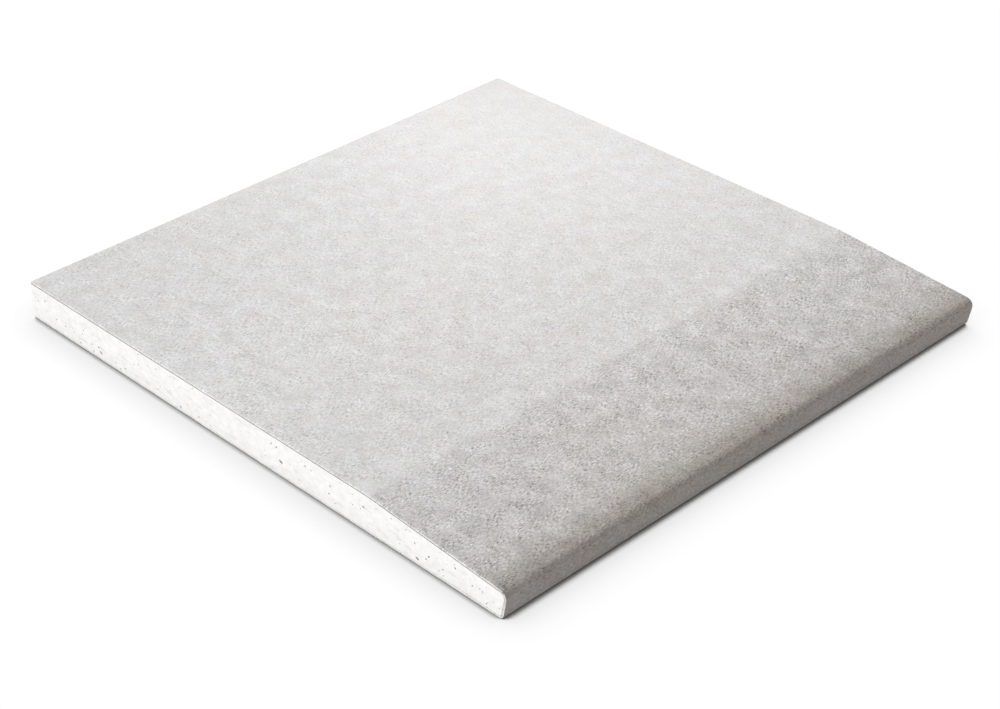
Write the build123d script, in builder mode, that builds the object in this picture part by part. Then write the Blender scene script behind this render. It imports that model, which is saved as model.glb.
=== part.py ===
from build123d import *
import os
from math import atan2, cos, radians, sin, tan

# Driving dimensions, in millimetres and degrees

# The piece lies on its back: X runs across it, Y along its wrapped edge, Z up out of its face
board_width = 200.0  # from the sawn side to the widest point of the wrapped edge
board_length = 195.0  # between the two sawn ends
board_thickness = 12.5

# The face slopes down towards the wrapped edge, to make room for joint tape and filler
taper_width = 50.0
taper_depth = 3.6

# The wrapped edge leans in towards the back, under a rounded shoulder
edge_lean = 11.0
core_shoulder_radius = 1.7
core_foot_radius = 0.6

# The papers, and the lap under the board where the back paper is glued over the folded flap
face_paper_thickness = 0.8
back_paper_thickness = 0.8
flap_width = 25.0  # from the foot of the edge to the end of the fold under the board
flap_reveal = 5.0  # the part of the flap next to the foot that the back paper leaves bare
pressed_flap_thickness = 0.35  # of the flap where the back paper presses it into the core

# Where the arc of the shoulder is centred, so that it touches the taper and the full width
half_width = board_width / 2
taper_angle = atan2(taper_depth, taper_width)
lean_angle = radians(edge_lean)
shoulder_radius = core_shoulder_radius + face_paper_thickness
shoulder_x = half_width - shoulder_radius
shoulder_z = (
    board_thickness
    - taper_depth
    + shoulder_radius * tan(taper_angle)
    - shoulder_radius / cos(taper_angle)
)


def foot_point(depth):
    """The sharp corner of the edge and the underside, on lines a depth under the paper's outside."""
    rise = (depth - shoulder_z) * sin(lean_angle)
    return (shoulder_x + (shoulder_radius - depth + rise) / cos(lean_angle), depth)


def ridge_point(depth):
    """The corner where the flat of the face turns down into the taper."""
    ridge_x = half_width - taper_width - depth * tan(taper_angle / 2)
    return (ridge_x, board_thickness - depth)


def shoulder_point(depth):
    """The sharp corner where the line of the taper meets the line of the edge."""
    ridge_x, ridge_z = ridge_point(depth)
    foot_x, foot_z = foot_point(depth)
    slope = tan(taper_angle)
    lean = tan(lean_angle)
    rise = (ridge_z - foot_z - slope * (foot_x - ridge_x)) / (1 + slope * lean)
    return (foot_x + lean * rise, foot_z + rise)


def round_wrapped_edge(section, depth):
    """Rounds the foot and the shoulder, both paper and core about one centre."""
    inside = face_paper_thickness - depth
    foot = section.vertices().sort_by_distance(Vector(*foot_point(depth)))[0]
    fillet(foot, core_foot_radius + inside)
    shoulder = section.vertices().sort_by_distance(Vector(*shoulder_point(depth)))[0]
    fillet(shoulder, core_shoulder_radius + inside)


# Where the lap lies under the board: the flap steps up at 45 degrees over the back paper's edge
foot_x = foot_point(0)[0]
flap_end_x = foot_x - flap_width
seam_x = foot_x - flap_reveal
back_paper_end_x = seam_x - back_paper_thickness
lap_z = back_paper_thickness + pressed_flap_thickness

# Gypsum core: it fills the board between the papers, sawn flush with them at its ends and side
with BuildPart() as gypsum_core:
    with BuildSketch(Plane.XZ) as core_section:
        with BuildLine():
            Polyline(
                (-half_width, back_paper_thickness),
                (flap_end_x, back_paper_thickness),
                (flap_end_x, lap_z),
                (back_paper_end_x, lap_z),
                (seam_x, face_paper_thickness),
                foot_point(face_paper_thickness),
                shoulder_point(face_paper_thickness),
                ridge_point(face_paper_thickness),
                (-half_width, board_thickness - face_paper_thickness),
                close=True,
            )
        make_face()
        round_wrapped_edge(core_section, face_paper_thickness)
    extrude(amount=board_length / 2, both=True)

# Back paper: flat over the back, and over the flap up to the bare strip along the foot
with BuildPart() as back_paper:
    with BuildSketch(Plane.XZ) as back_section:
        with BuildLine():
            Polyline(
                (-half_width, 0),
                (back_paper_end_x, 0),
                (back_paper_end_x, back_paper_thickness),
                (-half_width, back_paper_thickness),
                close=True,
            )
        make_face()
    extrude(amount=board_length / 2, both=True)

# Face paper: over the face, down the taper, round the edge and folded under the board
with BuildPart() as face_paper:
    with BuildSketch(Plane.XZ) as face_section:
        with BuildLine():
            Polyline(
                (-half_width, 0),
                foot_point(0),
                shoulder_point(0),
                ridge_point(0),
                (-half_width, board_thickness),
                close=True,
            )
        make_face()
        round_wrapped_edge(face_section, 0)
        add(core_section.sketch, mode=Mode.SUBTRACT)
        add(back_section.sketch, mode=Mode.SUBTRACT)
        # The open groove between the back paper's edge and the step of the flap
        with BuildLine():
            Polyline(
                (back_paper_end_x, 0),
                (seam_x, 0),
                (back_paper_end_x, back_paper_thickness),
                close=True,
            )
        make_face(mode=Mode.SUBTRACT)
    extrude(amount=board_length / 2, both=True)

# Names and files
gypsum_core.part.label = "gypsum_core"
face_paper.part.label = "face_paper"
back_paper.part.label = "back_paper"

os.makedirs("parts", exist_ok=True)
export_step(gypsum_core.part, "parts/gypsum_core.step")
export_step(face_paper.part, "parts/face_paper.step")
export_step(back_paper.part, "parts/back_paper.step")
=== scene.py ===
# %% [markdown]
# # A cut piece of drywall sheet
#
# Drywall is a core of white gypsum foam between two sheets of grey paper. The paper of
# the face is wider than the board: it runs down a shallow taper, round the long edge
# and a little way under the board, where the paper of the back is glued over it. This
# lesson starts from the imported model, which gives the exact sizes, and makes each of
# the three layers again with finer shapes and finishes.

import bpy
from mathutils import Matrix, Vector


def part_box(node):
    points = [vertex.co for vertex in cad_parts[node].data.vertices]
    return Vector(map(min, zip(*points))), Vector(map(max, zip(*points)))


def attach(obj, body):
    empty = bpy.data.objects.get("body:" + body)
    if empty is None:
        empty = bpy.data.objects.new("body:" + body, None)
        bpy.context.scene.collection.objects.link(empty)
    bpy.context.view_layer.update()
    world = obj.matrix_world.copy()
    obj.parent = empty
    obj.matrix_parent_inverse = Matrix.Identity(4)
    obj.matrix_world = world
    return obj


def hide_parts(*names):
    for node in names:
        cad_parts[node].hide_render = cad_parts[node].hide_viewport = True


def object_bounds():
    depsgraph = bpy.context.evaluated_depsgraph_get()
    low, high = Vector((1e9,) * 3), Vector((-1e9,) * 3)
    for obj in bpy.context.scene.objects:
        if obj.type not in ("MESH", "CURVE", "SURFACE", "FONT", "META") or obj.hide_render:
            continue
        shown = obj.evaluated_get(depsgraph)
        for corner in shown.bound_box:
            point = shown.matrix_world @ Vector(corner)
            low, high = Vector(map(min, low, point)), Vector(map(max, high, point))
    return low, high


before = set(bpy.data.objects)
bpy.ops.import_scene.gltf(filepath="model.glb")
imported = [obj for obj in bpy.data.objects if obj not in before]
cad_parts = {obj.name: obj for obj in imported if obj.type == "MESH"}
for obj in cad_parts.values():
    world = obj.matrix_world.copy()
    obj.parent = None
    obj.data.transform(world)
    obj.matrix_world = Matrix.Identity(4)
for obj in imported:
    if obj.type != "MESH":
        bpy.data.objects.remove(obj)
cad_low, cad_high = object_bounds()
print("the packed model:", sorted(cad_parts))
print("it reaches from", cad_low[:], "to", cad_high[:])

# %% [markdown]
# ## The sizes
#
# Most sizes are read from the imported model, so that they can't drift from it. The board
# lies on its back, with X across it towards the wrapped edge, Y along that edge and Z
# up out of the face. The few sizes that a box doesn't show, such as the radius of the
# shoulder, are written here in metres.

# %% Sizes of the board
import math
import random

import bmesh
import bpy
from mathutils import Vector

MM = 0.001
same_place = 0.001 * MM  # corners this close count as one
close_by = 0.01 * MM  # lengths this close count as equal
core_low, core_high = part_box("gypsum_core")
face_paper_thickness = cad_high.z - core_high.z
back_paper_thickness = core_low.z - cad_low.z
face_corners = [v.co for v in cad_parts["face_paper"].data.vertices]
ridge_x = max(place.x for place in face_corners if place.z > cad_high.z - same_place)

taper_drop = 3.6 * MM  # from the flat of the face to the far end of the taper
edge_lean = math.radians(11)  # of the wrapped edge, in towards the back
shoulder_radius = 2.5 * MM  # outside the paper
foot_radius = 1.4 * MM
flap_width = 25 * MM  # folded under the board
flap_reveal = 5 * MM  # of it that the back paper leaves bare
flap_pressed = 0.35 * MM  # its thickness under the back paper
broken_corner = 0.16 * MM  # of sawn paper
print(f"papers {face_paper_thickness / MM:.2f} and {back_paper_thickness / MM:.2f} mm")
print(f"the taper starts at x = {ridge_x / MM:.1f} mm")

# %% [markdown]
# ## The line of the fold
#
# Seen from its sawn end, the face paper is one line with corners: along the face, down
# the taper, down the edge and back under the board. The corners are worked out once
# here, outside the paper, and once more under its thickness for the core. A function
# keeps both in step.

# %% Corners of the fold
taper_angle = math.atan2(taper_drop, cad_high.x - ridge_x)
shoulder_x = cad_high.x - shoulder_radius
shoulder_z = (
    cad_high.z
    - taper_drop
    + shoulder_radius * math.tan(taper_angle)
    - shoulder_radius / math.cos(taper_angle)
)


def fold_corners(depth):
    """Ridge, shoulder and foot as (x, z), on lines a depth under the outside."""
    rise = (depth - shoulder_z) * math.sin(edge_lean)
    foot = (shoulder_x + (shoulder_radius - depth + rise) / math.cos(edge_lean), depth)
    ridge = (ridge_x - depth * math.tan(taper_angle / 2), cad_high.z - depth)
    slope, lean = math.tan(taper_angle), math.tan(edge_lean)
    up = (ridge[1] - foot[1] - slope * (foot[0] - ridge[0])) / (1 + slope * lean)
    return ridge, (foot[0] + lean * up, foot[1] + up), foot


ridge, shoulder, foot = fold_corners(0)
flap_end_x = foot[0] - flap_width
seam_x = foot[0] - flap_reveal
back_paper_end_x = seam_x - back_paper_thickness
shoulder_turn = math.pi / 2 - taper_angle + edge_lean
foot_turn = math.pi / 2 - edge_lean
for name, corner in (("ridge", ridge), ("shoulder", shoulder), ("foot", foot)):
    print(f"{name}: x {corner[0] / MM:.2f} mm, z {corner[1] / MM:.2f} mm")

# %% [markdown]
# ## The camera
#
# The camera comes first, so that every later step can be looked at from the
# photograph's place. It stands in front of the corner where the sawn end meets the
# wrapped edge, about a third of the way up, and looks down on the face with a long
# lens, which keeps opposite edges nearly parallel. Its place and its lens were solved
# from the edges in the photograph.

# %% Camera
camera_azimuth = math.radians(45.2551)
camera_elevation = math.radians(32.9165)
camera_distance = 642.69 * MM
camera_target = Vector((19.511, -19.882, 6.25)) * MM
lens = 80.668  # in millimetres, for a sensor 36 mm wide


def towards(azimuth, elevation):
    """The direction out of the middle: azimuth 0 is the sawn end near the camera."""
    level = math.cos(elevation)
    return Vector(
        (math.sin(azimuth) * level, -math.cos(azimuth) * level, math.sin(elevation))
    )


bpy.ops.object.select_all(action="DESELECT")
to_camera = towards(camera_azimuth, camera_elevation)
bpy.ops.object.camera_add(
    location=camera_target + to_camera * camera_distance,
    rotation=(-to_camera).to_track_quat("-Z", "Y").to_euler(),
)
camera = bpy.context.object
camera.name = "camera"
camera.data.sensor_width = 36
camera.data.lens = lens
camera.data.clip_start, camera.data.clip_end = 0.01, 20
bpy.context.scene.camera = camera
bpy.context.scene.view_settings.view_transform = "Standard"
print("the camera stands at", [round(c / MM) for c in camera.location], "mm")

# %% [markdown]
# ## Light
#
# The board is lit as in a product picture. A wide lamp right overhead keeps the shadow
# close to the foot, a low one from the front makes the sawn end white, and a broad one
# from behind the sawn side brings out the taper. A small lamp low above the far corner
# lets the face fade towards the front. The strength of each distant lamp is given as
# its share on a level surface: with the world's light and the small lamp, all shares
# come close to one, and so a colour shows about as it is written.


# %% Distant lamps
def add_distant_lamp(name, azimuth, elevation, share, width):
    """A lamp too far away to fall off. Its width is an angle; all are in degrees."""
    azimuth, elevation = math.radians(azimuth), math.radians(elevation)
    out = towards(azimuth, elevation)
    bpy.ops.object.light_add(
        type="SUN", location=out, rotation=out.to_track_quat("Z", "Y").to_euler()
    )
    lamp = bpy.context.object
    lamp.name = name
    lamp.data.angle = math.radians(width)
    lamp.data.energy = math.pi * share / math.sin(elevation)
    print(f"{name}: share {share}, energy {lamp.data.energy:.2f}")


add_distant_lamp("overhead_lamp", azimuth=210, elevation=86, share=0.195, width=18)
add_distant_lamp("front_lamp", azimuth=0, elevation=10, share=0.124, width=12)
add_distant_lamp("side_lamp", azimuth=250, elevation=45, share=0.29, width=40)

# %% Small lamp above the far corner
corner_lamp_place = Vector((-0.098, 0.080, 0.117))
bpy.ops.object.light_add(
    type="AREA",
    location=corner_lamp_place,
    rotation=corner_lamp_place.to_track_quat("Z", "Y").to_euler(),
)
corner_lamp = bpy.context.object
corner_lamp.name = "corner_lamp"
corner_lamp.data.shape = "DISK"
corner_lamp.data.size = 0.05
corner_lamp.data.energy = 0.0365
corner_lamp.visible_camera = False
print("corner_lamp hangs at", [round(c / MM) for c in corner_lamp_place], "mm")

# %% [markdown]
# ## Nodes in code
#
# A material is a tree of nodes, and each node takes a few lines of code to add, set and
# link. These helpers add one node each and give back its result, so that a material
# reads like a sum, from what it measures to its colour.


# %% Helpers for nodes
def put(tree, kind, inputs=None, **settings):
    """Adds a node. Inputs go by name or number, and are values or sockets to link."""
    node = tree.nodes.new("ShaderNode" + kind)
    for name, value in settings.items():
        setattr(node, name, value)
    for name, value in (inputs or {}).items():
        if isinstance(value, bpy.types.NodeSocket):
            tree.links.new(value, node.inputs[name])
        else:
            node.inputs[name].default_value = value
    return node


def maths(tree, operation, *values):
    """The result of a Math node."""
    node = put(tree, "Math", dict(enumerate(values)), operation=operation)
    return node.outputs[0]


def vector_maths(tree, operation, *values):
    """The vector that a Vector Math node gives."""
    node = put(tree, "VectorMath", dict(enumerate(values)), operation=operation)
    return node.outputs["Vector"]


def scaled(tree, vector, factor):
    """A place or a colour times a number."""
    inputs = {0: vector, "Scale": factor}
    return put(tree, "VectorMath", inputs, operation="SCALE").outputs["Vector"]


def measured(tree, operation, *values):
    """The number that a Vector Math node gives, such as a length or a distance."""
    node = put(tree, "VectorMath", dict(enumerate(values)), operation=operation)
    return node.outputs["Value"]


def axes(tree, place):
    """The X, Y and Z of a place."""
    return put(tree, "SeparateXYZ", {0: place}).outputs


def remap(tree, value, start, end, to_start=0.0, to_end=1.0, smooth=True):
    """The result of a Map Range node."""
    names = ("Value", "From Min", "From Max", "To Min", "To Max")
    inputs = dict(zip(names, (value, start, end, to_start, to_end)))
    shape = "SMOOTHSTEP" if smooth else "LINEAR"
    return put(tree, "MapRange", inputs, interpolation_type=shape).outputs[0]


def seen_directly(tree):
    """One for the rays that show a surface itself, zero for light that it bounces."""
    rays = put(tree, "LightPath").outputs
    seen = maths(tree, "MAXIMUM", rays["Is Camera Ray"], rays["Is Glossy Ray"])
    return maths(tree, "MAXIMUM", seen, rays["Is Transmission Ray"])


def new_material(name):
    """An empty node material, and its output node."""
    material = bpy.data.materials.new(name)
    material.use_nodes = True
    material.node_tree.nodes.clear()
    return material, put(material.node_tree, "OutputMaterial")


# %% [markdown]
# ## World and floor
#
# The world gives a weak light from all round, but shows as plain white, which the Light
# Path node makes possible. The floor does the same: for the light that bounces off it
# it is a plain grey, so that the wrapped edge stays in shade. What the camera sees is
# mostly a drawn shadow, with a tenth of a white floor that is really lit. One Ambient
# Occlusion node looks only a few millimetres far and draws the thin dark line where the
# board touches the floor, which is narrower beside the leaning edge. Another looks
# further and draws the soft rim of the shadow. Far out the floor turns into plain
# white, like a paper backdrop.

# %% World
world_share = 0.23
white = (1, 1, 1, 1)
world = bpy.data.worlds.new("soft_surroundings")
bpy.context.scene.world = world
world.use_nodes = True
tree = world.node_tree
tree.nodes.clear()
strength = remap(tree, seen_directly(tree), 0, 1, world_share, 1.0, smooth=False)
background = put(tree, "Background", {"Color": white, "Strength": strength}).outputs[0]
put(tree, "OutputWorld", {"Surface": background})
print("share of the world's light:", world_share)

# %% Floor
floor_reach = 4.0
floor_gap = 0.02 * MM  # under the board, so that the two don't lie in one plane
bpy.ops.mesh.primitive_plane_add(size=2 * floor_reach, location=(0, 0, -floor_gap))
floor = bpy.context.object
floor.name = "floor"
bpy.ops.object.transform_apply(location=True, rotation=True, scale=True)
print(f"the floor reaches {floor_reach} m each way")

# %% Material: floor
line_reach, rim_reach = 3.8 * MM, 15 * MM
white_from, white_at = 0.2, 0.3  # metres from the middle of the board
floor_material, out = new_material("floor_white")
tree = floor_material.node_tree
place = put(tree, "TexCoord").outputs["Object"]
close = put(tree, "AmbientOcclusion", {"Distance": line_reach}, samples=8).outputs["AO"]
wide = put(tree, "AmbientOcclusion", {"Distance": rim_reach}, samples=8).outputs["AO"]
open_air = remap(tree, axes(tree, place)[0], 96 * MM, 98 * MM, 0.695, 0.618)
line = remap(tree, close, 0.45, open_air, 0.065, 0.95)
rim = remap(tree, wide, 0.4, 0.95, 0.80, 1.09, smooth=False)
shadow = maths(tree, "MULTIPLY", line, rim)
drawn_floor = put(tree, "Emission", {"Color": white, "Strength": shadow}).outputs[0]
lit_floor = put(tree, "BsdfDiffuse", {"Color": (0.9, 0.9, 0.9, 1)}).outputs[0]
seen_floor = put(tree, "MixShader", {0: 0.9, 1: lit_floor, 2: drawn_floor}).outputs[0]
backdrop = put(tree, "Emission", {"Color": white, "Strength": 1.0}).outputs[0]
far = remap(tree, measured(tree, "LENGTH", place), white_from, white_at)
seen_floor = put(tree, "MixShader", {0: far, 1: seen_floor, 2: backdrop}).outputs[0]
grey_floor = put(tree, "BsdfDiffuse", {"Color": (0.5, 0.5, 0.5, 1)}).outputs[0]
surface = put(
    tree, "MixShader", {0: seen_directly(tree), 1: grey_floor, 2: seen_floor}
).outputs[0]
tree.links.new(surface, out.inputs["Surface"])
floor.data.materials.append(floor_material)
print("floor_white has", len(tree.nodes), "nodes")

# %% [markdown]
# ## Selecting in code
#
# Modelling by hand is a row of selections and operators. Here a small helper picks
# corners or edges by where they lie, and everything else is deselected first.


# %% Helpers for modelling
def near(a, b):
    """True where two lengths are equal, as far as this board is concerned."""
    return abs(a - b) < close_by


def middle(edge):
    """The middle of an edge of a BMesh."""
    a, b = edge.verts
    return (a.co + b.co) / 2


def pick(kind, test):
    """In edit mode, selects the verts or edges that pass the test, and counts them."""
    bpy.ops.mesh.select_mode(type={"verts": "VERT", "edges": "EDGE"}[kind])
    bpy.ops.mesh.select_all(action="DESELECT")
    mesh = bpy.context.object.data
    elements = [e for e in getattr(bmesh.from_edit_mesh(mesh), kind) if test(e)]
    for element in elements:
        element.select_set(True)
    bmesh.update_edit_mesh(mesh)
    return len(elements)


def round_corner(corner, radius, turn, segments):
    """Bevels the edges along Y through a corner (x, z) to an arc of that radius."""
    found = pick(
        "edges", lambda e: near(middle(e).x, corner[0]) and near(middle(e).z, corner[1])
    )
    offset = radius * math.tan(turn / 2)
    bpy.ops.mesh.bevel(offset=offset, segments=segments, profile=0.5)
    return found


def select_only(piece):
    """Makes one object the only selected one, and the active one."""
    bpy.ops.object.select_all(action="DESELECT")
    piece.select_set(True)
    bpy.context.view_layer.objects.active = piece


def finish_shape(piece, modifier):
    """Applies a modifier of a piece."""
    select_only(piece)
    bpy.ops.object.modifier_apply(modifier=modifier.name)


def smooth_bends(piece, angle):
    """Smooth shading where faces meet at less than the angle; large flats stay flat."""
    select_only(piece)
    bpy.ops.object.shade_smooth_by_angle(angle=math.radians(angle))
    flats = piece.modifiers.new("flats", "WEIGHTED_NORMAL")
    flats.keep_sharp = True
    flats.weight = 100
    finish_shape(piece, flats)


# %% [markdown]
# ## The face paper as a folded sheet
#
# The real paper is one sheet that a machine creases and folds, so it is modelled in the
# same order. A plane covers the flat of the face, and its far edge is extruded corner
# by corner along the line of the fold. Bevel rounds the shoulder and the foot: its
# offset is the radius times the tangent of half the turn. Solidify gives the sheet its
# thickness last, so both sides stay parallel.

# %% Flat of the face, and the fold
bpy.ops.object.select_all(action="DESELECT")
flat_middle = ((cad_low.x + ridge_x) / 2, 0, cad_high.z)
bpy.ops.mesh.primitive_plane_add(size=1, location=flat_middle)
face_sheet = bpy.context.object
face_sheet.name = "face_paper_sheet"
bpy.ops.transform.resize(value=(ridge_x - cad_low.x, cad_high.y - cad_low.y, 1))
bpy.ops.object.transform_apply(location=True, rotation=True, scale=True)
bpy.ops.object.mode_set(mode="EDIT")
pick("edges", lambda e: near(middle(e).x, ridge_x))
step_up = (back_paper_end_x, back_paper_thickness)
flap_end = (flap_end_x, back_paper_thickness)
here = (ridge_x, cad_high.z)
for corner in (shoulder, foot, (seam_x, 0), step_up, flap_end):
    move = (corner[0] - here[0], 0, corner[1] - here[1])
    bpy.ops.mesh.extrude_region_move(TRANSFORM_OT_translate={"value": move})
    here = corner
print("the sheet ends under the board at", [round(c / MM, 2) for c in here], "mm")

# %% Rounded shoulder and foot
shoulder_segments, foot_segments = 16, 10
round_corner(shoulder, shoulder_radius, shoulder_turn, shoulder_segments)
round_corner(foot, foot_radius, foot_turn, foot_segments)
bpy.ops.mesh.select_all(action="SELECT")
bpy.ops.mesh.normals_make_consistent(inside=False)
bpy.ops.object.mode_set(mode="OBJECT")
if face_sheet.data.polygons[0].normal.z < 0:
    face_sheet.data.flip_normals()
print("the folded sheet has", len(face_sheet.data.polygons), "strips")

# %% [markdown]
# ## Remembering the flat sheet
#
# The grain of paper follows the sheet round the fold, so each corner of the mesh will
# keep its place on the unfolded sheet: how far along the fold it is, its Y, and how
# deep under the outside. The line of the fold is read from the sheet here, while it is
# still only a line.


# %% Line of the fold, in order
def section_line(mesh, y):
    """The points (x, z) of a thin sheet's edge at y, in order from its left end."""
    places = {v.index: v.co for v in mesh.vertices if near(v.co.y, y)}
    links = {index: [] for index in places}
    for a, b in (edge.vertices for edge in mesh.edges):
        if a in links and b in links:
            links[a].append(b)
            links[b].append(a)
    walk = [min(places, key=lambda index: places[index].x)]
    while len(walk) < len(places):
        walk.append(next(i for i in links[walk[-1]] if i not in walk[-2:]))
    return [Vector((places[i].x, places[i].z)) for i in walk]


fold_line = section_line(face_sheet.data, cad_low.y)
print("points on the fold:", len(fold_line))


def unfold(place):
    """(distance along the fold, y, depth under the outside). The flat keeps its x."""
    point = Vector((place.x, place.z))
    best, along = None, fold_line[0].x
    for a, b in zip(fold_line, fold_line[1:]):
        share = (point - a).dot(b - a) / (b - a).length_squared
        nearest = a.lerp(b, min(max(share, 0), 1))
        gap = (point - nearest).length
        if best is None or gap < best[0] - 1e-9:
            best = (gap, along + (nearest - a).length)
        along += (b - a).length
    return best[1], place.y, best[0]


# %% Thickness of the paper
thickness = face_sheet.modifiers.new("thickness", "SOLIDIFY")
thickness.thickness = face_paper_thickness
thickness.offset = -1
thickness.use_even_offset = True
finish_shape(face_sheet, thickness)
print("the thick sheet has", len(face_sheet.data.polygons), "faces")

# %% [markdown]
# ## The pressed flap
#
# Where the back paper covers the flap, the press has squeezed it into the soft core, so
# it is thinner there. The inner corners that Solidify made are moved to their real
# places.

# %% Thin the flap
inside_z = back_paper_thickness + flap_pressed
step_shift = face_paper_thickness * math.tan(math.radians(45) / 2)
made_by_solidify = (
    (seam_x + step_shift, face_paper_thickness),
    (back_paper_end_x + step_shift, 2 * face_paper_thickness),
    (flap_end_x, back_paper_thickness + face_paper_thickness),
)
real_corners = (
    (seam_x, face_paper_thickness),
    (back_paper_end_x, inside_z),
    (flap_end_x, inside_z),
)
bpy.ops.object.mode_set(mode="EDIT")
for start, end in zip(made_by_solidify, real_corners):
    found = pick("verts", lambda v: near(v.co.x, start[0]) and near(v.co.z, start[1]))
    move = (end[0] - start[0], 0, end[1] - start[1])
    bpy.ops.transform.translate(value=move)
    print(f"moved {found} corners by {[round(m / MM, 2) for m in move]} mm")

# %% [markdown]
# ## The sawn edge of the paper
#
# A saw leaves a fine broken corner on paper, which catches the light as a thin bright
# line along the cut. A bevel of a sixth of a millimetre is enough for it. This is also
# the last change to the mesh, so each corner now gets its place on the unfolded sheet.

# %% Break the sawn corners
seam_along = unfold(Vector((seam_x, 0, 0)))[0]


def on_outside(edge):
    """True for an edge on the outside of the sheet that the back paper leaves bare."""
    places = [unfold(v.co) for v in edge.verts]
    return all(p[2] < same_place and p[0] < seam_along + close_by for p in places)


def at_cut(edge):
    """True for an edge that lies in one of the sawn sides."""
    ends = [v.co for v in edge.verts]
    sides = [all(near(c.y, y) for c in ends) for y in (cad_low.y, cad_high.y)]
    return any(sides) or all(near(c.x, cad_low.x) for c in ends)


sawn = pick("edges", lambda e: at_cut(e) and on_outside(e))
bpy.ops.mesh.bevel(offset=broken_corner, segments=2, profile=0.5)
bpy.ops.object.mode_set(mode="OBJECT")
unrolled = face_sheet.data.attributes.new("unrolled", "FLOAT_VECTOR", "POINT")
for vertex in face_sheet.data.vertices:
    unrolled.data[vertex.index].vector = unfold(vertex.co)
smooth_bends(face_sheet, angle=25)
print(f"broke {sawn} sawn edges; the sheet has {len(face_sheet.data.polygons)} faces")

# %% [markdown]
# ## The gypsum core
#
# The core is poured between the papers, so it takes their shape. It starts as a block
# that reaches past the sharp corner of the shoulder. Bisect planes it down to the taper
# and to the leaning edge, and the same two bevels round it under the paper. The flap of
# the paper is pressed into its underside, which is a shallow step. Bisect reuses
# corners closer to its plane than a threshold, so the threshold is set far below the
# smallest step here.

# %% Block, taper and edge
core_ridge, core_shoulder, core_foot = fold_corners(face_paper_thickness)
spare = 1 * MM  # of the block beyond the sharp corner of the shoulder
block_high = Vector((core_shoulder[0] + spare, core_high.y, core_high.z))
bpy.ops.object.select_all(action="DESELECT")
bpy.ops.mesh.primitive_cube_add(size=1, location=(core_low + block_high) / 2)
core = bpy.context.object
core.name = "gypsum_core_block"
bpy.ops.transform.resize(value=block_high - core_low)
bpy.ops.object.transform_apply(location=True, rotation=True, scale=True)
bpy.ops.object.mode_set(mode="EDIT")
taper_normal = (math.sin(taper_angle), 0, math.cos(taper_angle))
edge_normal = (math.cos(edge_lean), 0, -math.sin(edge_lean))
for corner, normal in ((core_ridge, taper_normal), (core_foot, edge_normal)):
    bpy.ops.mesh.select_all(action="SELECT")
    bpy.ops.mesh.bisect(
        plane_co=(corner[0], 0, corner[1]),
        plane_no=normal,
        use_fill=True,
        clear_outer=True,
        threshold=same_place,
    )
print(f"planed the taper at {math.degrees(taper_angle):.1f} degrees, and the edge")

# %% Rounded corners under the paper
under = face_paper_thickness
rounded = round_corner(
    core_shoulder, shoulder_radius - under, shoulder_turn, shoulder_segments
)
rounded += round_corner(core_foot, foot_radius - under, foot_turn, foot_segments)
print("edges of the core rounded:", rounded)

# %% Step for the pressed flap
step_wall = 0.05 * MM  # the end of the flap stands up within this width
for x in (flap_end_x, flap_end_x + step_wall, back_paper_end_x, seam_x):
    bpy.ops.mesh.select_all(action="SELECT")
    bpy.ops.mesh.bisect(plane_co=(x, 0, 0), plane_no=(1, 0, 0), threshold=same_place)
step_start, step_end = (x + step_wall / 2 for x in (flap_end_x, back_paper_end_x))
raised = pick(
    "verts",
    lambda v: near(v.co.z, core_low.z) and step_start < v.co.x < step_end,
)
bpy.ops.transform.translate(value=(0, 0, flap_pressed))
bpy.ops.object.mode_set(mode="OBJECT")
print("corners raised for the flap:", raised)

# %% [markdown]
# ## Air bubbles in the core
#
# The core is foamed, and a saw opens its bubbles as small round and oval holes. Their
# colour alone would look printed, so they are real hollows: little pebbles, set half
# into the sawn sides, are cut out of the block with Boolean. The few large ones lie
# where the photograph shows them. The small ones are scattered from a fixed seed, and
# the cube of a random number makes most of them tiny. One that would run into an
# earlier one is left out.

# %% Large bubbles
rng = random.Random(12)
bubbles = []  # (place, half length, half width, tilt)
for x, z, half_length, half_width, tilt in (  # in millimetres and degrees
    (-66.6, 2.6, 0.85, 0.30, 25),
    (14.4, 5.0, 0.85, 0.32, 25),
    (67.9, 2.0, 0.75, 0.30, 20),
    (-76.7, 1.5, 0.45, 0.22, 30),
    (-29.3, 1.7, 0.50, 0.24, 30),
    (24.6, 8.8, 0.50, 0.20, 15),
    (47.6, 7.6, 0.55, 0.20, 25),
    (27.0, 8.6, 0.26, 0.22, 0),
    (-97.0, 7.1, 0.24, 0.20, 0),
    (-57.3, 1.4, 0.32, 0.20, 30),
    (-66.8, 7.2, 0.22, 0.18, 0),
    (-48.1, 7.2, 0.22, 0.18, 0),
    (97.6, 2.9, 0.24, 0.18, 0),
    (75.9, 2.5, 0.24, 0.20, 0),
):
    place = Vector((x * MM, cad_low.y, z * MM))
    bubbles.append((place, half_length * MM, half_width * MM, math.radians(tilt)))
print("large bubbles:", len(bubbles))

# %% Small bubbles
smallest_half = 0.09 * MM
edge_gap = 0.6 * MM  # that they keep from the papers
shoulder_gap = 4 * MM  # that they keep from the wrapped edge


def far_from_others(place, gap):
    """True where a new bubble wouldn't run into one that is already there."""
    return all((place - other[0]).length > gap + other[1] for other in bubbles)


def scatter(count, pick_place):
    """Adds small bubbles at places that pick_place gives."""
    for _ in range(count):
        place = pick_place()
        half = smallest_half * (1 + 1.8 * rng.random() ** 3)
        if far_from_others(place, 2 * half):
            tilt = rng.uniform(-1.5, 1.5)
            bubbles.append((place, half * rng.uniform(1.0, 1.8), half, tilt))


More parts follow.
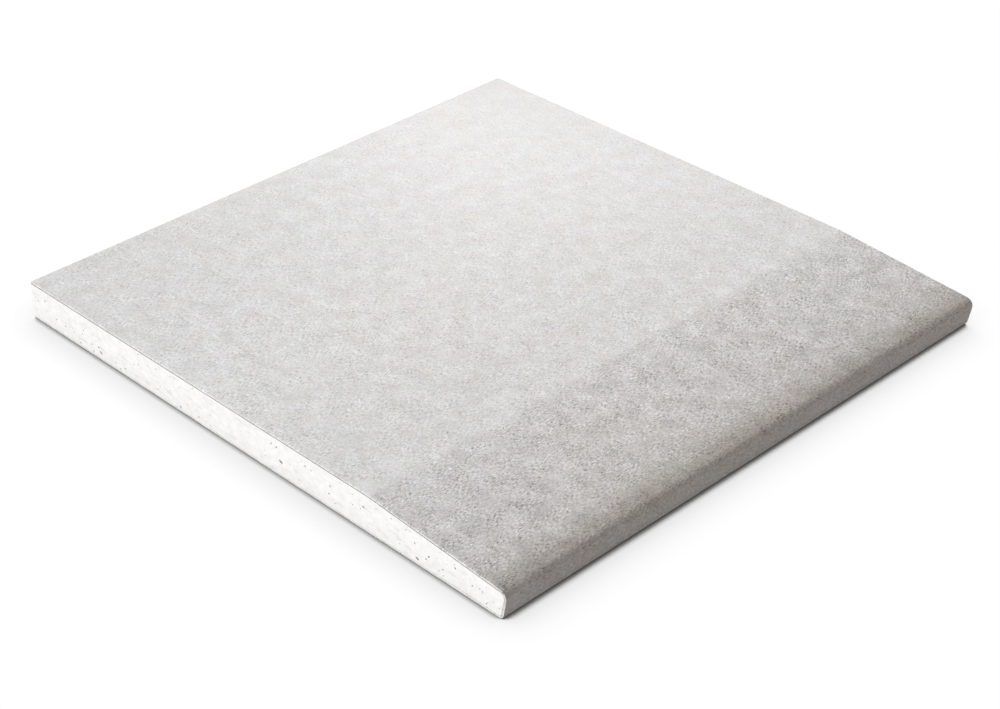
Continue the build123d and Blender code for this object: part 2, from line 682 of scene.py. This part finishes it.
def on_end(y):
    """A random place on a sawn end, a little inside its outline."""
    x = rng.uniform(core_low.x + edge_gap, cad_high.x - shoulder_gap)
    top = core_high.z - max(0, x - ridge_x) * math.tan(taper_angle)
    return Vector((x, y, rng.uniform(core_low.z + edge_gap, top - edge_gap)))


def on_side():
    """A random place on the sawn side."""
    y = rng.uniform(cad_low.y + edge_gap, cad_high.y - edge_gap)
    z = rng.uniform(core_low.z + edge_gap, core_high.z - edge_gap)
    return Vector((core_low.x, y, z))


scatter(230, lambda: on_end(cad_low.y))
scatter(160, lambda: on_end(cad_high.y))
scatter(160, on_side)
print("bubbles opened by the saw:", len(bubbles))

# %% One uneven pebble for each bubble
bpy.ops.object.select_all(action="DESELECT")
bpy.ops.mesh.primitive_ico_sphere_add(subdivisions=2, radius=1)
pebble = bpy.context.object
for vertex in pebble.data.vertices:
    vertex.co *= rng.uniform(0.88, 1.08)
pebbles = []
for place, half_length, half_width, tilt in bubbles:
    copy = bpy.data.objects.new("pebble", pebble.data.copy())
    bpy.context.scene.collection.objects.link(copy)
    copy.location = place
    if near(place.x, core_low.x):
        copy.scale = (half_width, half_length, half_width)
        copy.rotation_euler = (tilt, 0, 0)
    else:
        copy.scale = (half_length, half_width, half_width)
        copy.rotation_euler = (0, tilt, 0)
    pebbles.append(copy)
bpy.data.objects.remove(pebble)
bpy.ops.object.select_all(action="DESELECT")
for copy in pebbles:
    copy.select_set(True)
bpy.context.view_layer.objects.active = pebbles[0]
bpy.ops.object.join()
pebbles = bpy.context.object
bpy.ops.object.transform_apply(location=True, rotation=True, scale=True)
print("the pebbles have", len(pebbles.data.polygons), "faces")

# %% Cut the bubbles
holes = core.modifiers.new("bubbles", "BOOLEAN")
holes.operation = "DIFFERENCE"
holes.solver = "EXACT"
holes.object = pebbles
finish_shape(core, holes)
bpy.data.objects.remove(pebbles)
bpy.ops.object.shade_smooth_by_angle(angle=math.radians(40))
print("the core has", len(core.data.polygons), "faces")

# %% [markdown]
# ## The back paper
#
# The back paper is cut a little narrower than the board, so its long edge lies free on
# the folded flap. It is modelled as a thin slab whose outer corners are broken like the
# sawn ones, and whose free edge wanders by a few tenths of a millimetre, as the edge of
# a slit paper does. That edge is pressed down to a slope against the step of the flap,
# so the groove between them almost closes.

# %% Slab with broken corners
back_low, back_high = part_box("back_paper")
bpy.ops.object.select_all(action="DESELECT")
bpy.ops.mesh.primitive_cube_add(size=1, location=(back_low + back_high) / 2)
back_sheet = bpy.context.object
back_sheet.name = "back_paper_sheet"
bpy.ops.transform.resize(value=back_high - back_low)
bpy.ops.object.transform_apply(location=True, rotation=True, scale=True)
bpy.ops.object.mode_set(mode="EDIT")
free_band_x = back_high.x - 1.5 * MM  # only this side of it needs fine divisions
bpy.ops.mesh.select_all(action="SELECT")
bpy.ops.mesh.bisect(
    plane_co=(free_band_x, 0, 0), plane_no=(1, 0, 0), threshold=same_place
)
full_length = back_high.y - back_low.y
pick("edges", lambda e: near(abs(e.verts[0].co.y - e.verts[1].co.y), full_length))
bpy.ops.mesh.subdivide(number_cuts=90)
corners_broken = pick(
    "edges",
    lambda e: near(middle(e).z, back_low.z)
    and len(e.link_faces) == 2
    and e.calc_face_angle() > 1,
)
bpy.ops.mesh.bevel(offset=broken_corner, segments=2, profile=0.5)
bpy.ops.object.mode_set(mode="OBJECT")
print("corners broken:", corners_broken)

# %% Free edge that wanders
station_length = 0.6 * MM  # between two values of the drift
edge_band = 0.5 * MM  # corners this close to the free edge are moved
drift = [0.0]
for _ in range(400):
    drift.append(0.85 * drift[-1] + rng.uniform(-0.06, 0.06) * MM)
for vertex in back_sheet.data.vertices:
    if vertex.co.x > back_high.x - edge_band:
        station = round((vertex.co.y - back_low.y) / station_length)
        slope = 0.92 * (back_high.z - vertex.co.z)
        vertex.co.x += slope - abs(drift[station])
smooth_bends(back_sheet, angle=25)
print("the back paper has", len(back_sheet.data.polygons), "faces")

# %% [markdown]
# ## What paper is made of
#
# Board paper is pressed from waste paper. Close up it is a felt of short fibres,
# faintly tinted by old ink, with a dark fleck here and there, and it is a little cloudy
# over a few centimetres. Both papers share one node group for this, which gives a shade
# around 1, a tint and a height.


# %% Helpers for node groups
def new_group(name, inputs, outputs):
    """A shader node group, with inputs and outputs given as name: kind of socket."""
    group = bpy.data.node_groups.new(name, "ShaderNodeTree")
    for way, sockets in (("INPUT", inputs), ("OUTPUT", outputs)):
        for socket, kind in sockets.items():
            group.interface.new_socket(
                socket, in_out=way, socket_type="NodeSocket" + kind
            )
    return (
        group,
        group.nodes.new("NodeGroupInput").outputs,
        group.nodes.new("NodeGroupOutput"),
    )


def noise(tree, place, per_mm, detail=2.0, roughness=0.5):
    """A Noise texture, its scale given in waves for each millimetre."""
    inputs = {
        "Vector": place,
        "Scale": per_mm / MM,
        "Detail": detail,
        "Roughness": roughness,
    }
    return put(tree, "TexNoise", inputs).outputs


def swing(tree, place, per_mm, detail=2.0, roughness=0.5):
    """Noise that goes to both sides of zero."""
    waves = noise(tree, place, per_mm, detail, roughness)["Fac"]
    return maths(tree, "SUBTRACT", waves, 0.5)


# %% [markdown]
# ## One layer of fibres
#
# Voronoi cells drop a point at every spacing, each with its own random colour. The
# place measured from that point, turned by a random angle and stretched, gives one
# short curved fibre in each cell, lighter or darker than the felt. The paper machine
# combs the fibres along the board, so they turn at most 35 degrees off Y. Noise alone
# would give soft blots, never single fibres.

# %% Node group: one layer of fibres
most_turn = math.radians(34.4)
fibre_layer, given, out = new_group(
    "fibre_layer",
    {"Place": "Vector", "Spacing": "Float", "Length": "Float", "Width": "Float"},
    {"Shade": "Float"},
)
tree = fibre_layer
cells_per_metre = maths(tree, "DIVIDE", 1.0, given["Spacing"])
drops = put(
    tree,
    "TexVoronoi",
    {"Vector": given["Place"], "Scale": cells_per_metre},
    voronoi_dimensions="2D",
).outputs
chance = put(tree, "SeparateColor", {0: drops["Color"]}).outputs
local = vector_maths(tree, "SUBTRACT", given["Place"], drops["Position"])
angle = maths(tree, "MULTIPLY_ADD", chance[0], 1.2, -most_turn)
local = put(
    tree, "VectorRotate", {"Vector": local, "Angle": angle}, rotation_type="Z_AXIS"
).outputs[0]
across, lengthwise, _ = axes(tree, local)
lengthwise = maths(tree, "DIVIDE", lengthwise, given["Length"])
bend = maths(tree, "MULTIPLY", maths(tree, "SUBTRACT", chance[1], 0.5), given["Length"])
bend = maths(tree, "MULTIPLY", bend, maths(tree, "MULTIPLY", lengthwise, lengthwise))
across = maths(tree, "DIVIDE", maths(tree, "ADD", across, bend), given["Width"])
reach = put(tree, "CombineXYZ", {0: across, 1: lengthwise}).outputs[0]
body = remap(tree, measured(tree, "LENGTH", reach), 1.1, 0.3)
light_or_dark = maths(tree, "MULTIPLY_ADD", chance[2], 2.0, -1.0)
shade = maths(tree, "MULTIPLY", body, light_or_dark)
tree.links.new(shade, out.inputs["Shade"])
print("fibre_layer has", len(tree.nodes), "nodes")

# %% [markdown]
# ## Grain, flecks and tint
#
# Five layers of fibres, from fine to coarse, lie over each other. Two noises fill the
# felt between them: a fine one, drawn out along the board as the fibres are, and a
# coarser one. Worn places have less grain, and its dark side is a little deeper than
# its light side. Flecks are the few Voronoi cells with a high chance, with ragged
# outlines from a shifted place. The tint comes from old ink, in small and large
# patches; the clouds are a little warmer where they are dark, and the last term keeps
# the grain itself from looking coloured.

# %% Node group: paper fibre
paper_fibre, given, out = new_group(
    "paper_fibre",
    {"Place": "Vector", "Grain": "Float", "Clouding": "Float", "Flecks": "Float"},
    {"Shade": "Float", "Tint": "Color", "Height": "Float"},
)
tree = paper_fibre
place = given["Place"]
fibres = 0.0
for number, (spacing, length, width, weight) in enumerate(
    (  # the three sizes in millimetres
        (0.55, 0.36, 0.12, 1.2),
        (0.8, 0.52, 0.13, 1.1),
        (1.2, 0.80, 0.15, 0.9),
        (1.7, 1.10, 0.17, 0.8),
        (2.8, 1.70, 0.19, 0.7),
    )
):
    shift = (0.31 * number, 0.17 * number, 0)
    inputs = {
        "Place": vector_maths(tree, "ADD", place, shift),
        "Spacing": spacing * MM,
        "Length": length * MM,
        "Width": width * MM,
    }
    layer = put(tree, "Group", inputs, node_tree=fibre_layer).outputs["Shade"]
    fibres = maths(tree, "MULTIPLY_ADD", layer, weight, fibres)
print("layers of fibres:", number + 1)

# %% Grain of the paper
combed = put(tree, "Mapping", {"Vector": place, "Scale": (1, 0.45, 1)}).outputs[0]
drawn_out = put(tree, "Mapping", {"Vector": place, "Scale": (1, 0.30, 1)}).outputs[0]
fine = swing(tree, drawn_out, 2.9, detail=2, roughness=0.8)
felt = swing(tree, combed, 0.9)
cloud = swing(tree, place, 0.15, detail=4, roughness=0.65)
grain = maths(tree, "MULTIPLY_ADD", fibres, 0.20, maths(tree, "MULTIPLY", fine, 1.75))
grain = maths(tree, "MULTIPLY_ADD", felt, 0.18, grain)
worn = remap(tree, noise(tree, combed, 0.25)["Fac"], 0.35, 0.65, 0.75, 1.25)
grain = maths(tree, "MULTIPLY", grain, worn)
deeper_dark = maths(tree, "MULTIPLY_ADD", grain, -0.4, 1.0)
grain = maths(tree, "MULTIPLY", grain, deeper_dark)
height = maths(tree, "MULTIPLY_ADD", felt, 1.5, maths(tree, "ADD", fine, fibres))
print("with the grain, nodes:", len(tree.nodes))

# %% Flecks and clouds of the paper
ragged = vector_maths(
    tree,
    "MULTIPLY_ADD",
    noise(tree, place, 2.2, roughness=0.6)["Color"],
    (0.9 * MM, 0.9 * MM, 0),
    place,
)
spots = put(
    tree, "TexVoronoi", {"Vector": ragged, "Scale": 0.45 / MM}, voronoi_dimensions="2D"
).outputs
chance = put(tree, "SeparateColor", {0: spots["Color"]}).outputs[0]
size = remap(tree, chance, 0.8, 1.0, 0.0, 0.14, smooth=False)
fleck = maths(tree, "LESS_THAN", spots["Distance"], size)
fleck = maths(tree, "MULTIPLY", fleck, given["Flecks"])
shade = maths(tree, "MULTIPLY_ADD", grain, given["Grain"], 1.0)
shade = maths(tree, "MULTIPLY_ADD", cloud, given["Clouding"], shade)
shade = maths(tree, "MULTIPLY", shade, maths(tree, "MULTIPLY_ADD", fleck, -1.0, 1.0))
print("with flecks and clouds, nodes:", len(tree.nodes))

# %% Tint of the paper
ink = noise(tree, place, 0.18)["Color"]
tint = vector_maths(
    tree, "MULTIPLY_ADD", ink, (0.07, 0.04, 0.08), (0.945, 0.98, 0.935)
)
slow = noise(tree, place, 0.018, detail=1)["Color"]
tint = vector_maths(tree, "MULTIPLY_ADD", slow, (0.04, 0, 0.05), tint)
warmth = scaled(tree, (-0.05, 0, 0.06), cloud)
tint = vector_maths(tree, "ADD", tint, warmth)
even = scaled(tree, (-0.05, 0, 0), grain)
tint = vector_maths(tree, "ADD", tint, even)
for name, value in (("Shade", shade), ("Tint", tint), ("Height", height)):
    tree.links.new(value, out.inputs[name])
print("paper_fibre has", len(tree.nodes), "nodes")

# %% [markdown]
# ## The face paper's finish
#
# A Color Ramp along the fold gives the light grey of the face, with painted light and
# shade in it: painted light on the middle of the flat and on a strip before the ridge,
# a taper that is darker partly as painted shade, painted shade growing towards the
# wrapped edge, a thin painted highlight and then a dark painted rim where the taper
# turns into the edge, and a warmer grey round that edge. The place on the unfolded
# sheet says how far along the fold a point is, and a little noise lets the painted rim
# wander. The grain is strongest on the taper, weak on the edge, and calm towards the
# far corner. The depth says which ply a point of the sawn edge belongs to: light
# plies, and a darker line of glue near the inside. The plies are darker round the
# wrapped edge.


# %% Helpers for finishes
def ramp(tree, value, stops):
    """A Color Ramp with stops of (position, colour)."""
    node = put(tree, "ValToRGB", {0: value})
    elements = node.color_ramp.elements
    while len(elements) < len(stops):
        elements.new(1.0)
    for element, (position, colour) in zip(elements, sorted(stops)):
        element.position = position
        element.color = (*colour, 1)
    return node.outputs["Color"]


def mix_colours(tree, a, b, factor=1.0, blend="MIX"):
    """The result of a Mix node for colours."""
    inputs = {0: factor, 6: a, 7: b}
    return put(tree, "Mix", inputs, data_type="RGBA", blend_type=blend).outputs[2]


def matt_surface(tree, out, colour, bump, roughness, specular):
    """Ends a material in a matt Principled shader. bump: inputs of its Bump node."""
    inputs = {
        "Base Color": colour,
        "Roughness": roughness,
        "Specular IOR Level": specular,
        "Normal": put(tree, "Bump", bump).outputs[0],
    }
    shader = put(tree, "BsdfPrincipled", inputs).outputs[0]
    tree.links.new(shader, out.inputs["Surface"])
    print("nodes in the material:", len(tree.nodes))


# %% Face paper: grey and painted shade along the fold
ramp_start, ramp_end = -100, 130  # in millimetres along the fold
face_material, out = new_material("face_paper_grey")
tree = face_material.node_tree
sheet_place = put(tree, "Attribute", attribute_name="unrolled").outputs["Vector"]
along, _, depth = axes(tree, sheet_place)
# the noise makes the painted rim line wander
wander = swing(tree, sheet_place, 0.22, detail=4, roughness=0.6)
near_rim = remap(tree, along, 94 * MM, 98 * MM)
wander = maths(tree, "MULTIPLY", wander, maths(tree, "MULTIPLY", near_rim, 2.2 * MM))
wandering_along = maths(tree, "ADD", along, wander)
position = remap(tree, wandering_along, ramp_start * MM, ramp_end * MM, smooth=False)
# Painted light and shade in the paper's grey: lighter on the middle of the flat and on a
# strip before the ridge, darker on the taper partly as painted shade, painted shade
# growing from 90 mm, a thin painted highlight up to 99.42 mm and a dark painted rim to 100
# mm, then a warmer grey round the edge.
paper_grey_and_painted_shade = (
    (-100, (0.775, 0.764, 0.760)),
    (-65, (0.776, 0.765, 0.760)),
    (-18, (0.793, 0.781, 0.775)),
    (20, (0.775, 0.762, 0.755)),
    (36, (0.755, 0.742, 0.735)),
    (46, (0.769, 0.755, 0.748)),
    (49.3, (0.772, 0.758, 0.750)),
    (51.3, (0.706, 0.689, 0.683)),
    (54, (0.684, 0.666, 0.659)),
    (60, (0.664, 0.645, 0.637)),
    (68, (0.660, 0.641, 0.631)),
    (78, (0.640, 0.621, 0.610)),
    (86, (0.625, 0.602, 0.588)),
    (90, (0.593, 0.565, 0.545)),
    (94, (0.512, 0.480, 0.454)),
    (96.5, (0.426, 0.392, 0.365)),
    (98.3, (0.405, 0.369, 0.343)),
    (99.1, (0.457, 0.415, 0.385)),
    (99.42, (0.486, 0.440, 0.409)),
    (99.54, (0.300, 0.271, 0.252)),
    (100, (0.300, 0.271, 0.252)),
    (100.5, (0.575, 0.520, 0.486)),
    (101.3, (0.680, 0.618, 0.578)),
    (102.3, (0.700, 0.640, 0.598)),
    (104, (0.750, 0.692, 0.648)),
    (106, (0.756, 0.710, 0.664)),
    (107.5, (0.765, 0.725, 0.674)),
    (130, (0.745, 0.730, 0.708)),
)
ramp_length = ramp_end - ramp_start
stops = [((mm - ramp_start) / ramp_length, colour) for mm, colour in paper_grey_and_painted_shade]
colour = ramp(tree, position, stops)
print("shades along the fold:", len(paper_grey_and_painted_shade))

# %% Face paper: how strong the grain is
on_taper = remap(tree, along, 48 * MM, 56 * MM)
on_band = remap(tree, wandering_along, 99.4 * MM, 100 * MM)
grain_amount = maths(tree, "MULTIPLY_ADD", on_taper, 0.40, 0.75)
grain_amount = maths(tree, "MULTIPLY_ADD", on_band, -0.30, grain_amount)
cloud_amount = maths(tree, "MULTIPLY_ADD", on_taper, 0.30, 0.45)
cloud_amount = maths(tree, "MULTIPLY_ADD", on_band, -0.55, cloud_amount)
far_corner = (cad_low.x, cad_high.y, 0)
away = measured(tree, "DISTANCE", sheet_place, far_corner)
coarseness = remap(tree, away, 15 * MM, 170 * MM, 0.42, 1.06, smooth=False)
inputs = {
    "Place": sheet_place,
    "Grain": maths(tree, "MULTIPLY", grain_amount, coarseness),
    "Clouding": maths(tree, "MULTIPLY", cloud_amount, coarseness),
    "Flecks": 0.16,
}
fibre = put(tree, "Group", inputs, node_tree=paper_fibre).outputs
print("nodes so far:", len(tree.nodes))

# %% Face paper: plies of the sawn edge
ply = ramp(
    tree,
    maths(tree, "DIVIDE", depth, face_paper_thickness),
    [
        (0.0, (0.74, 0.73, 0.72)),
        (0.30, (0.77, 0.76, 0.75)),
        (1.0, (0.72, 0.71, 0.69)),
    ],
)
glue_line = maths(tree, "COMPARE", depth, 0.84 * face_paper_thickness, 0.12 * MM)
round_edge = remap(tree, along, 95 * MM, 100 * MM)
glue_strength = remap(tree, round_edge, 0, 1, 0.75, 0.15)
glue_line = maths(tree, "MULTIPLY", glue_line, glue_strength)
on_flap = remap(tree, along, 106.5 * MM, 109 * MM)
on_edge = maths(tree, "SUBTRACT", round_edge, on_flap)
edge_shade = remap(tree, on_edge, 0, 1, 1.0, 0.86)
ply = scaled(tree, ply, maths(tree, "SUBTRACT", edge_shade, glue_line))
skin = remap(tree, on_flap, 0, 1, 0.05 * MM, -0.10 * MM)
inside_paper = remap(tree, maths(tree, "SUBTRACT", depth, skin), 0.0, 0.07 * MM)
shaded = mix_colours(tree, colour, ply, inside_paper)
shaded = mix_colours(tree, shaded, fibre["Tint"], blend="MULTIPLY")
shaded = scaled(tree, shaded, fibre["Shade"])
bump = {"Strength": 0.35, "Distance": 0.06 * MM, "Height": fibre["Height"]}
matt_surface(tree, out, shaded, bump, roughness=0.92, specular=0.2)
face_sheet.data.materials.append(face_material)

# %% [markdown]
# ## The gypsum's finish
#
# Sawn gypsum is a bright, slightly warm white. The saw smears it into faint grey
# streaks and leaves pores that are too small to model. Towards the floor it is a little
# greyer, which is painted shade. The bubbles are painted darker inside, partly for dust
# that stays in them and partly as painted shade, since little light comes back out; how
# deep a point lies behind the sawn side gives that shade.

# %% Gypsum: how grey it is
gypsum_material, out = new_material("gypsum_white")
tree = gypsum_material.node_tree
place = put(tree, "TexCoord").outputs["Object"]
across, lengthwise, upwards = axes(tree, place)
pores = put(tree, "TexVoronoi", {"Vector": place, "Scale": 1.1 / MM}).outputs
chance = put(tree, "SeparateColor", {0: pores["Color"]}).outputs[0]
pore_size = remap(tree, chance, 0.80, 1.0, 0.0, 0.20, smooth=False)
pore = maths(tree, "LESS_THAN", pores["Distance"], pore_size)
smear_place = put(
    tree,
    "Mapping",
    {"Vector": place, "Rotation": (0, math.radians(38), 0), "Scale": (0.25, 1, 1)},
).outputs[0]
smear = noise(tree, smear_place, 0.9, detail=3, roughness=0.65)["Fac"]
mottle = noise(tree, place, 0.5, detail=4, roughness=0.7)["Fac"]
grey = maths(tree, "MULTIPLY", remap(tree, smear, 0.55, 0.75), 0.14)
grey = maths(tree, "MULTIPLY_ADD", remap(tree, mottle, 0.3, 0.7), 0.09, grey)
grey = maths(tree, "MULTIPLY_ADD", pore, 0.30, grey)
# painted shade: a little greyer in the lowest few millimetres, towards the floor
grey = maths(tree, "ADD", remap(tree, upwards, 7 * MM, 1 * MM, 0, 0.05), grey)
bright = maths(tree, "SUBTRACT", 1.0, grey)
print("nodes so far:", len(tree.nodes))

# %% Gypsum: bubbles with dust and painted shade, and warm white
# inside the bubbles the white is darkened, partly for dust and partly as painted shade
behind_end = maths(tree, "SUBTRACT", cad_high.y, maths(tree, "ABSOLUTE", lengthwise))
behind_side = maths(tree, "SUBTRACT", across, core_low.x)
behind = maths(tree, "MINIMUM", behind_end, behind_side)
hollow = remap(tree, behind, 0.01 * MM, 0.12 * MM)
bubble_dust_and_painted_shade = maths(tree, "MULTIPLY_ADD", hollow, -0.80, 1.0)
bright = maths(tree, "MULTIPLY", bright, bubble_dust_and_painted_shade)
warm = vector_maths(
    tree,
    "MULTIPLY_ADD",
    noise(tree, place, 0.12, detail=1)["Color"],
    (0.012, 0.012, 0.02),
    (0.957, 0.944, 0.926),
)
powder = noise(tree, place, 3.0)["Fac"]
powder = maths(tree, "MULTIPLY_ADD", pore, -0.8, powder)
bump = {"Strength": 0.3, "Distance": 0.05 * MM, "Height": powder}
shaded = scaled(tree, warm, bright)
matt_surface(tree, out, shaded, bump, roughness=0.95, specular=0.15)
core.data.materials.clear()
core.data.materials.append(gypsum_material)

# %% [markdown]
# ## The back paper's finish
#
# The paper of the back is the cheaper grade: browner, and with more flecks than the
# face. It uses the same node group with its own values, and reads its place straight
# from the object, because this sheet lies flat.

# %% Material: back paper
back_material, out = new_material("back_paper_grey")
tree = back_material.node_tree
place = put(tree, "TexCoord").outputs["Object"]
depth = axes(tree, place)[2]
inputs = {"Place": place, "Grain": 0.55, "Clouding": 0.40, "Flecks": 0.35}
fibre = put(tree, "Group", inputs, node_tree=paper_fibre).outputs
ply = ramp(
    tree,
    maths(tree, "DIVIDE", depth, back_paper_thickness),
    [
        (0.0, (0.60, 0.58, 0.55)),
        (0.10, (0.60, 0.58, 0.55)),
        (0.20, (0.72, 0.71, 0.69)),
        (1.0, (0.74, 0.73, 0.72)),
    ],
)
shaded = mix_colours(tree, ply, fibre["Tint"], blend="MULTIPLY")
shaded = scaled(tree, shaded, fibre["Shade"])
bump = {"Strength": 0.45, "Distance": 0.08 * MM, "Height": fibre["Height"]}
matt_surface(tree, out, shaded, bump, roughness=0.95, specular=0.15)
back_sheet.data.materials.append(back_material)

# %% [markdown]
# ## Putting the pieces in the model
#
# Each new piece stands for one node of the imported model, which is hidden. All of them
# ride on the one body, since nothing on the board moves.

# %% Bodies, nodes and slots
for piece, node, slot in (
    (face_sheet, "face_paper", "face_paper"),
    (core, "gypsum_core", "gypsum"),
    (back_sheet, "back_paper", "back_paper"),
):
    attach(piece, "root")
    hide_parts(node)
    piece.data.calc_loop_triangles()
    triangles = len(piece.data.loop_triangles)
    print(piece.name, "stands for", node, "with", triangles, "triangles")
